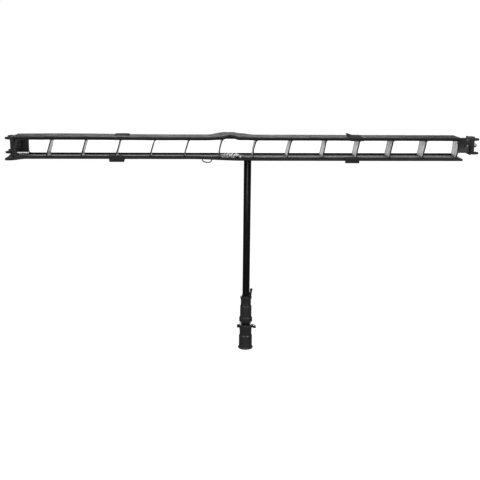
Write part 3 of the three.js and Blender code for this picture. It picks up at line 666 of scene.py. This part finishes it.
# A flap's cloth: places along X, then points round its profile from the rear edge to the hem's lap
FLAP_STATIONS = 420
FLAT_POINTS = 26
HEM_POINTS = 14
LAP_POINTS = 3
HEM_START = 16 * MM
HEM_ANGLES = (58, 270)
FLAP_GAP = 0.3 * MM

# The tape holds the cloth flat on the light, and in front of that it has slack
TAPED_DEPTH = 34 * MM
LOOSENING_DEPTH = 12 * MM
TAPED_SLACK = 0.15
HEM_SLACK = 0.3
WAVE = 1.1 * MM
RIPPLE = 0.55 * MM

# The upper flap's pucker: a steep rise, then a longer fall, and a lifted stretch of hem
PUCKER = (-112 * MM, -62 * MM, -46 * MM, 18 * MM)
PUCKER_HEIGHT = 6.6 * MM
PUCKER_AT_HEM = 0.3
HEM_LIFT_X = -54 * MM
HEM_LIFT_HALF = 22 * MM
HEM_LIFT = 4.5 * MM
CREASE_START = -37 * MM
CREASE_STEP = 3 * MM
CREASE_X = -32 * MM
CREASE_HALF = 24 * MM
CREASE_DEPTH = 1 * MM
ARCH_X = -470 * MM
ARCH_HALF = 240 * MM
ARCH = 1.8 * MM

# The lower flap's front is pulled up along its left half
RISE = 4 * MM
RISE_ENDS = (-600 * MM, -560 * MM, -150 * MM, -20 * MM)

# The first row of stitches stands this far behind the hem's front. The second runs past the last flat
# point but one by this share of the way to the next. Three stitches are left out at each end.
STITCH_ROW = 10 * MM
SECOND_ROW_SHARE = 1.4
STITCH_INSET = 14 * MM
STITCH_GAP = 0.05 * MM
UNSTITCHED = 3

ROD_STATIONS = 240
ROD_SIDES = 12

LOOP_ROWS = 28
LOOP_COLUMNS = 6
LOOP_THICKNESS = 2.2 * MM
LOOP_SWAY = 0.8 * MM

skirt_front = box("upper_flap")[0].y
skirt_back = box("upper_flap")[1].y
light_front = box("housing")[0].y


def plateau(x, ends):
    """0 outside the four ends, 1 between the middle two, smooth in between."""
    a, b, c, d = ends
    return smooth_step((x - a) / (b - a)) * (1 - smooth_step((x - c) / (d - c)))


def upper_lift(x, y):
    """How far the upper flap stands above its plain place."""
    depth = (skirt_back - y) / (skirt_back - skirt_front)
    pucker = PUCKER_HEIGHT * plateau(x, PUCKER) * lerp(1.0, PUCKER_AT_HEM, depth)
    hem = HEM_LIFT * hump(x, HEM_LIFT_X, HEM_LIFT_HALF) * smooth_step((depth - 0.5) / 0.4)
    crease = CREASE_DEPTH * smooth_step((x - CREASE_START) / CREASE_STEP)
    crease *= hump(x, CREASE_X, CREASE_HALF)
    return pucker + hem - crease + ARCH * hump(x, ARCH_X, ARCH_HALF) * (1 - 0.7 * depth)


def lower_lift(x, y):
    """How far the lower flap, and what lies on it, stands above its plain place."""
    return RISE * plateau(x, RISE_ENDS) * smooth_step((light_front - y) / (light_front - skirt_front))


def flap_profile(front, back):
    """(y, height over the inner face, slack) of the cloth's middle, from the rear edge round the hem."""
    roll = HEM_RADIUS - CLOTH / 2
    centre = front + HEM_RADIUS
    points = []
    for i in range(FLAT_POINTS):
        y = lerp(back, front + HEM_START, i / (FLAT_POINTS - 1))
        free = smooth_step((back - TAPED_DEPTH - y) / LOOSENING_DEPTH)
        points.append((y, CLOTH / 2 + FLAP_GAP, lerp(TAPED_SLACK, 1.0, free)))
    for i in range(HEM_POINTS):
        angle = math.radians(lerp(*HEM_ANGLES, i / (HEM_POINTS - 1)))
        points.append((centre + roll * math.cos(angle), HEM_RADIUS + roll * math.sin(angle), HEM_SLACK))
    for i in range(1, LAP_POINTS + 1):
        points.append((lerp(centre, front + HEM_LAP, i / LAP_POINTS), HEM_RADIUS - roll, HEM_SLACK))
    return points


def flap_middle(node, side, taper, seed, profile):
    """The middle of a flap's cloth: a row for each station along X, a column for each profile point."""
    low, high = box(node)
    inner = low.z if side > 0 else high.z
    lift = upper_lift if side > 0 else lower_lift
    middle = np.zeros((FLAP_STATIONS, len(profile), 3))
    for station in range(FLAP_STATIONS):
        u = station / (FLAP_STATIONS - 1)
        for p, (y, height, slack) in enumerate(profile):
            depth = (high.y - y) / (high.y - low.y)
            x = lerp(low.x + taper[0] * depth, high.x - taper[1] * depth, u)
            wave = 0.5 + 0.5 * rough(x * 5.5, y * 9, seed)
            ripple = max(0.0, rough(x * 34, y * 10, seed + 7))
            out = height + slack * (wave * WAVE + ripple * RIPPLE)
            middle[station, p] = (x, y, inner + side * out + lift(x, y))
    return middle


def flap_stitches(node, side, middle):
    """Two rows of stitching behind the hem, on the outside."""
    low, high = box(node)
    length = high.x - low.x
    last = FLAT_POINTS - 1
    ys = middle[0, :, 1]
    first_share = (low.y + STITCH_ROW - ys[last]) / (ys[last + 1] - ys[last])
    up = Vector((0, 0, side))
    points = []
    for point, share in ((last, first_share), (last - 1, SECOND_ROW_SHARE)):
        for i in range(int(length / STITCH_PITCH) - 2 * UNSTITCHED):
            u = (i + UNSTITCHED + 0.5) * STITCH_PITCH / length
            station = middle[int(u * (FLAP_STATIONS - 1))]
            spot = Vector(station[point]).lerp(Vector(station[point + 1]), share)
            spot.x = lerp(low.x + STITCH_INSET, high.x - STITCH_INSET, u)
            points.append(spot + up * (CLOTH / 2 + STITCH_GAP))
    seam = stitches(f"{node}_stitches", points, up, sewing_thread)
    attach(seam, "skirt")
    return seam


def flap(node, side, taper, seed):
    """A flap of laminated cloth with a hem rolled round its rod. side is 1 for the upper one."""
    low, high = box(node)
    profile = flap_profile(low.y, high.y)
    middle = flap_middle(node, side, taper, seed, profile)

    def outside(row, column):
        """The dark face shows on both sides from the last flat point on."""
        return 0 if column >= FLAT_POINTS - 1 else None

    # the upper flap's stations are reversed, so that the normal points outwards on both flaps
    outward = middle[::-1] if side > 0 else middle
    piece = cloth(f"{node}_cloth", outward, CLOTH, [materials["outer_fabric"], shaded_silver], outside)
    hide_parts(node)
    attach(piece, "skirt")
    seam = flap_stitches(node, side, middle)
    developed = sum(math.dist(a[:2], b[:2]) for a, b in zip(profile, profile[1:]))


def hem_rod(node, lift):
    """A hem's glass-fibre rod, bent as the cloth round it is."""
    low, high = box(node)
    radius = (high.y - low.y) / 2
    y, z = (low.y + high.y) / 2, (low.z + high.z) / 2
    vertices = []
    for i in range(ROD_STATIONS):
        x = lerp(low.x, high.x, i / (ROD_STATIONS - 1))
        for k in range(ROD_SIDES):
            angle = 2 * math.pi * k / ROD_SIDES
            up = radius * math.sin(angle) + lift(x, y)
            vertices.append((x, y + radius * math.cos(angle), z + up))
    faces = tube_faces(ROD_STATIONS, ROD_SIDES)
    piece = make_object(f"{node}_bent", vertices, faces, [materials["rod_fibre"]])
    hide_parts(node)
    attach(piece, "skirt")


def pull_loop():
    """A pale ribbon loop sewn under the lower hem."""
    low, high = box("pull_loop")
    middle_x, half = (low.x + high.x) / 2, (high.x - low.x) / 2
    top, drop = high.z, high.z - low.z
    middle = np.zeros((LOOP_ROWS, LOOP_COLUMNS, 3))
    for r in range(LOOP_ROWS):
        a = math.pi * r / (LOOP_ROWS - 1)
        for c in range(LOOP_COLUMNS):
            v = c / (LOOP_COLUMNS - 1)
            x = middle_x - half * math.cos(a) * (1 - 0.04 * v)
            y = lerp(low.y, high.y, v) + LOOP_SWAY * math.sin(2 * a)
            z = top - drop * 0.9 * math.sin(a) * (1 + 0.05 * math.sin(3 * a + v))
            middle[r, c] = (x, y, z + lower_lift(x, y))
    piece = cloth("pull_loop_ribbon", middle, LOOP_THICKNESS, [materials["webbing"]])
    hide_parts("pull_loop")
    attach(piece, "skirt")


# ---------------------------------------------------------------- grid

WALLS = 14
WALL_ROWS = 25
WALL_COLUMNS = 23
TURNED_COLUMNS = 2
WALL_FOOT = 3 * MM
WALL_GAP = 0.2 * MM
WALL_SEED = 3.7
WALL_LEAN = 0.88
WALL_BOW = 1.6 * MM
WALL_CREASE = 0.7 * MM

# Walls left of the middle stand to one side of their solids, and the feet of those right of it to the other
MIDDLE_WALL = 8
MIDDLE_WALL_SPAN = 2
LEFT_WALL_SHIFT = -4.5 * MM
RIGHT_WALL_SHIFT = 4.5 * MM

# Two walls near the middle are bowed, and the last one hangs nearly upright with its rear edge twisted
BOWED_WALLS = (7, 8)
BOWED_WALL_BOW = -2.4 * MM
BOWED_WALL_SHIFT = -1.5 * MM
BOWED_TOP_SHIFT = -4 * MM
END_WALL_LEAN = 0.2
END_WALL_BOW = 3.5 * MM
END_WALL_TWIST = 6 * MM

# How much of the upper flap's lift the grid's top follows
GRID_FOLLOWS = 0.9

STRIP_STATIONS = 380
STRIP_ROWS = 34
STRIP_SLACK = 0.4 * MM
STRIP_BACK_BAND = 24 * MM
STRIP_FRONT_BANDS = (11 * MM, 22 * MM)
CRUMPLE_STATIONS = 181
CRUMPLE_X = -52 * MM
CRUMPLE_HALF = 40 * MM
CRUMPLE_HEIGHT = 8 * MM
# where the crumple's patch noise passes this level, the bottom strip gets the paler silver as painted
# glints
PAINTED_GLINT_LEVEL = 0.1

TAB_COLUMNS = 26
TAB_POINTS = 56
TAB_WOBBLE = 0.3 * MM


def wall_hang(index, lean):
    """How a wall hangs, along X: its lean, bow, twist, and the shifts of the whole wall and of its top."""
    if index == WALLS:
        return lean * END_WALL_LEAN, END_WALL_BOW, END_WALL_TWIST, 0.0, 0.0
    if index in BOWED_WALLS:
        return lean, BOWED_WALL_BOW, 0.0, BOWED_WALL_SHIFT, BOWED_TOP_SHIFT
    bow = WALL_BOW * noise.noise(Vector((index * WALL_SEED, 0, 0)))
    right = smooth_step((index - MIDDLE_WALL) / MIDDLE_WALL_SPAN)
    return lean, bow, 0.0, lerp(LEFT_WALL_SHIFT, RIGHT_WALL_SHIFT, right), -RIGHT_WALL_SHIFT * right


def grid_wall(index):
    """A slack silver wall with dark bound edges, its ends turned and sewn to the strips."""
    node = f"grid_wall_{index:02d}"
    low, high = box(node)
    middle_x = (low.x + high.x) / 2
    lean, bow, twist, shift, top_shift = wall_hang(index, (high.x - low.x) * WALL_LEAN)
    top_x = middle_x + lean / 2 + shift + top_shift
    # rows are closer together near the bound edges
    shares = [0.5 - 0.5 * math.cos(math.pi * r / (WALL_ROWS - 1)) for r in range(WALL_ROWS)]
    ys = [lerp(low.y, high.y, share) for share in shares]
    middle = np.zeros((WALL_ROWS, WALL_COLUMNS, 3))
    thick = np.zeros((WALL_ROWS, WALL_COLUMNS)) + WALL_CLOTH
    for r, y in enumerate(ys):
        u = (y - low.y) / (high.y - low.y)
        floor_z = low.z + WALL_GAP + lower_lift(middle_x, y)
        roof_z = high.z - WALL_GAP + GRID_FOLLOWS * upper_lift(top_x, y)
        if min(y - low.y, high.y - y) < BINDING_DEPTH:
            thick[r] = BINDING
        for c in range(WALL_COLUMNS):
            v = (c - TURNED_COLUMNS) / (WALL_COLUMNS - 1 - 2 * TURNED_COLUMNS)
            v = min(1.0, max(0.0, v))
            turned = max(0, TURNED_COLUMNS - c, c - WALL_COLUMNS + 1 + TURNED_COLUMNS) / TURNED_COLUMNS
            slack = math.sin(math.pi * v)
            crease = WALL_CREASE * rough(y * 45, v * 2.4, index * WALL_SEED) * slack
            x = middle_x + lean * (v - 0.5) + bow * slack * (1 - 0.8 * u) + crease + twist * u
            x += WALL_FOOT * turned + shift + top_shift * v
            middle[r, c] = (x, y, lerp(floor_z, roof_z, v))

    def outside(row, column):
        return 1 if min(ys[row] - low.y, high.y - ys[row + 1]) < BINDING_DEPTH - MM else 0

    face = strap if index == 1 else materials["silver_fabric"]
    piece = cloth(f"{node}_cloth", middle, thick, [face, binding], outside)
    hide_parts(node)
    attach(piece, "grid")


def grid_strip(node, side):
    """A long silver strip along the top or bottom of the cells. The bottom one is crumpled in one place."""
    low, high = box(node)
    middle_z = (low.z + high.z) / 2
    xs = list(np.linspace(low.x, high.x, STRIP_STATIONS))
    if side < 0:
        crumpled = np.linspace(CRUMPLE_X - CRUMPLE_HALF, CRUMPLE_X + CRUMPLE_HALF, CRUMPLE_STATIONS)
        xs += list(crumpled[1:-1])
    xs = sorted(set(round(float(x), 5) for x in xs))
    middle = np.zeros((len(xs), STRIP_ROWS, 3))
    for c, x in enumerate(xs):
        crumple = hump(x, CRUMPLE_X, CRUMPLE_HALF) ** 0.5 if side < 0 else 0.0
        for r in range(STRIP_ROWS):
            y = lerp(low.y, high.y, r / (STRIP_ROWS - 1))
            slack = STRIP_SLACK * abs(rough(x * 30, y * 16, side * 5))
            slack += crumple * CRUMPLE_HEIGHT * abs(rough(x * 130, y * 60, 3.3, 4))
            lift = lower_lift(x, y) if side < 0 else GRID_FOLLOWS * upper_lift(x, y)
            middle[c, r] = (x, y, middle_z - side * slack + lift)

    def outside(row, column):
        """The lining is bound dark along its front and is dark along its back; where it is crumpled,
        patches of paler, shinier silver are painted glints.
        """
        x = xs[row]
        y = middle[row, column, 1]
        # patches of painted glint, placed by noise over the crumple
        glint_patch = hump(x, CRUMPLE_X, CRUMPLE_HALF) * abs(rough(x * 170, y * 80, 8.1, 2))
        if side < 0 and glint_patch > PAINTED_GLINT_LEVEL:
            return 1
        front_band = lerp(*STRIP_FRONT_BANDS, smooth_step((x - low.x) / (high.x - low.x)))
        return 2 if y < low.y + front_band or y > high.y - STRIP_BACK_BAND else 0

    piece = cloth(f"{node}_cloth", middle, WALL_CLOTH, [shaded_silver, painted_glint_silver, binding], outside)
    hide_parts(node)
    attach(piece, "grid")


def tab(node, side, black, skew, curl=0.0, hang=0.0, tuck=0.0):
    """A tab folded round a hem: grey nylon, then black hook tape.

    black is where the hook tape starts and where the tab ends, as shares of its solid's reach. skew
    moves the far end along X, curl lifts a corner of that end, hang lets it sag off the hem, and tuck
    shortens the lap in front of the grid.
    """
    low, high = box(node)
    front = low.y
    inner = low.z if side > 0 else high.z
    over = high.z - low.z
    reach = high.y - low.y
    back = max(black) * reach
    outline = [
        (front + 1.6 * MM, tuck),
        (front + 0.4 * MM, 3.5 * MM + tuck * 0.4),
        (front + 0.5 * MM, over - 3.2 * MM + hang),
        (front + 3.4 * MM, over - 1.6 * MM + hang),
        (front + 0.18 * back, over - 3.2 * MM + hang * 0.9),
        (front + 0.4 * back, 6.4 * MM + hang * 0.6),
        (front + 0.7 * back, 7.5 * MM + hang * 0.3),
        (front + back, 7.6 * MM),
    ]
    path = spline(outline, TAB_POINTS)
    distance = np.cumsum([0.0] + [math.dist(a, b) for a, b in zip(path, path[1:])])
    middle = np.zeros((TAB_COLUMNS, len(path), 3))
    for c in range(TAB_COLUMNS):
        u = c / (TAB_COLUMNS - 1)
        for p, (y, height) in enumerate(path):
            t = distance[p] / distance[-1]
            corner = 1 - 0.1 * max(0.0, (t - 0.95) / 0.05) ** 2
            x = (low.x + high.x) / 2 + (u - 0.5) * (high.x - low.x) * corner + skew * t
            lift = curl * smooth_step((t - 0.6) / 0.4) * smooth_step((0.5 - u) / 0.5)
            wobble = TAB_WOBBLE * rough(x * 40, y * 40, 9.1)
            under = upper_lift(x, y) if side > 0 else lower_lift(x, y)
            middle[c, p] = (x, y, inner + side * (height + lift + wobble) + under)

    def outside(row, column):
        return 1 if path[column][0] > front + min(black) * reach else 0

    outward = middle[::-1] if side > 0 else middle
    both = [materials["outer_fabric"], materials["hook_tape"]]
    piece = cloth(f"{node}_tape", outward, TAPE, both, outside)
    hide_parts(node)
    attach(piece, "grid")
    if side > 0:
        # an upper tab gets a copy of its mesh of its own
        tuple(high)
        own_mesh(piece)


# ---------------------------------------------------------------- hard pieces with finer shapes

DIAL_TEETH = 32
DIAL_SEGMENTS = 160
TOOTH_DEPTH = 0.05
DIAL_LENGTH = 12 * MM


def knurled_dial():
    """The dial with its toothed rim. Its profile runs from its shaft's inner end to its outer face."""
    low, high = box("control_dial")
    radius = (high.z - low.z) / 2
    face = high.x - DIAL_LENGTH
    place = Vector((0, (low.y + high.y) / 2, (low.z + high.z) / 2))

    def ridge(r, angle):
        tooth = abs(((angle / (2 * math.pi) * DIAL_TEETH) % 1.0) - 0.5) * 2
        return r * (1 - TOOTH_DEPTH * tooth) if r > radius * 0.93 else r

    profile = [(radius * 0.58, face - 9 * MM), (radius * 0.58, face), (radius * 0.92, face),
               (radius, face + 0.6 * MM), (radius, face + 4 * MM), (radius, face + 9.4 * MM),
               (radius * 0.9, face + 10.6 * MM), (radius * 0.82, high.x), (radius * 0.3, high.x),
               (radius * 0.2, high.x - 0.5 * MM)]
    piece = lathe("control_dial_knurled", profile, place, dial_finish, DIAL_SEGMENTS, ridge)
    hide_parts("control_dial")
    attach(piece, "control_dial")


# ---------------------------------------------------------------- stage

FLOOR_HALF = 6.0
BACKGROUND_ON_OBJECT = 0.1
BACKGROUND_TO_CAMERA = 1.0

# The camera is placed from the column's axis, the light's front and the light's centre line
CAMERA_X = -0.1524
CAMERA_DISTANCE = 2.2
CAMERA_RISE = 0.3
CAMERA_LENS = 64.33
CAMERA_YAW = -3.368
CAMERA_PITCH = 14.01
CAMERA_ROLL = 0.6

AIM = (0, 0, 0.3)
HIGH_AIM = (0, 0, 0.4)
# name, place, target, size, watts
LIGHTS = (
    ("left_softbox", (-1.75, -1.9, 1.9), AIM, (0.34, 0.34), 30),
    ("right_softbox", (1.75, -1.9, 1.9), AIM, (0.34, 0.34), 30),
    ("front_softbox", (-0.2, -3.2, 0.9), AIM, (2.0, 0.6), 13),
    ("top_softbox", (0.0, -0.9, 2.6), HIGH_AIM, (1.8, 0.8), 8),
    ("rear_softbox", (0.0, 2.4, 0.9), AIM, (2.0, 0.8), 26),
)


def floor_white():
    """A glowing white that shows next to no shadow."""
    g = Graph("floor_white")
    g.set(base_color=(0.02, 0.02, 0.02, 1), roughness=0.8,
          emission_color=(1, 1, 1, 1), emission_strength=1.0)
    return g.finish()


def make_stage():
    """A white floor and a white world that only the camera sees at full strength."""
    corners = [(-1, -1), (1, -1), (1, 1), (-1, 1)]
    vertices = [(x * FLOOR_HALF, y * FLOOR_HALF, 0) for x, y in corners]
    floor = make_object("floor", vertices, [(0, 1, 2, 3)], [floor_white()])
    floor.visible_diffuse = False
    floor.visible_glossy = False

    world = bpy.data.worlds.new("studio")
    world.use_nodes = True
    tree = world.node_tree
    background = tree.nodes["Background"]
    background.inputs["Color"].default_value = (1, 1, 1, 1)
    rays = tree.nodes.new("ShaderNodeLightPath")
    strength = tree.nodes.new("ShaderNodeMapRange")
    strength.inputs["To Min"].default_value = BACKGROUND_ON_OBJECT
    strength.inputs["To Max"].default_value = BACKGROUND_TO_CAMERA
    tree.links.new(rays.outputs["Is Camera Ray"], strength.inputs["Value"])
    tree.links.new(strength.outputs[0], background.inputs["Strength"])
    scene.world = world


def area_light(name, place, target, size, power):
    data = bpy.data.lights.new(name, "AREA")
    data.shape = "RECTANGLE"
    data.size, data.size_y = size
    data.energy = power
    obj = bpy.data.objects.new(name, data)
    obj.location = place
    obj.rotation_mode = "QUATERNION"
    obj.rotation_quaternion = (Vector(target) - Vector(place)).to_track_quat("-Z", "Y")
    scene.collection.objects.link(obj)


def make_camera():
    """A camera in front of the light, a little left of the column, looking slightly down."""
    low, high = box("housing")
    data = bpy.data.cameras.new("camera")
    data.sensor_width = 36
    data.lens = CAMERA_LENS
    data.clip_end = 100
    camera = bpy.data.objects.new("camera", data)
    place = Vector((CAMERA_X, low.y - CAMERA_DISTANCE, (low.z + high.z) / 2 + CAMERA_RISE))
    turn = (
        Matrix.Rotation(math.radians(CAMERA_YAW), 4, "Z")
        @ Matrix.Rotation(math.radians(90 - CAMERA_PITCH), 4, "X")
        @ Matrix.Rotation(math.radians(CAMERA_ROLL), 4, "Z")
    )
    camera.matrix_world = Matrix.Translation(place) @ turn
    scene.collection.objects.link(camera)
    scene.camera = camera
    scene.view_settings.view_transform = "Standard"


# ---------------------------------------------------------------- build

make_camera()
make_stage()
for light in LIGHTS:
    area_light(*light)

flap("upper_flap", 1, taper=(8 * MM, -3 * MM), seed=1.5)
flap("lower_flap", -1, taper=(2 * MM, 2 * MM), seed=21.5)
hem_rod("upper_hem_rod", upper_lift)
hem_rod("lower_hem_rod", lower_lift)
pull_loop()

for number in range(1, WALLS + 1):
    grid_wall(number)
grid_strip("grid_top_strip", 1)
grid_strip("grid_bottom_strip", -1)
tab("upper_left_tab", 1, black=(0.5, 1.0), skew=0.0, tuck=3 * MM)
tab("upper_right_tab", 1, black=(0.22, 0.86), skew=2 * MM, curl=4.5 * MM, tuck=2 * MM)
tab("lower_left_tab", -1, black=(0.06, 0.5), skew=6 * MM, hang=6.5 * MM)
tab("lower_right_tab", -1, black=(0.06, 0.5), skew=8 * MM, curl=2 * MM, hang=5 * MM)
knurled_dial()

for part in frame["record"]["subparts"]:
    finish_node(part["node"], part["material_slot"])
# the right end block gets the paler grey copy of the black plastic, as painted light
for slot in frame["nodes"]["right_end_block"].material_slots:
    slot.material = painted_light_end_block
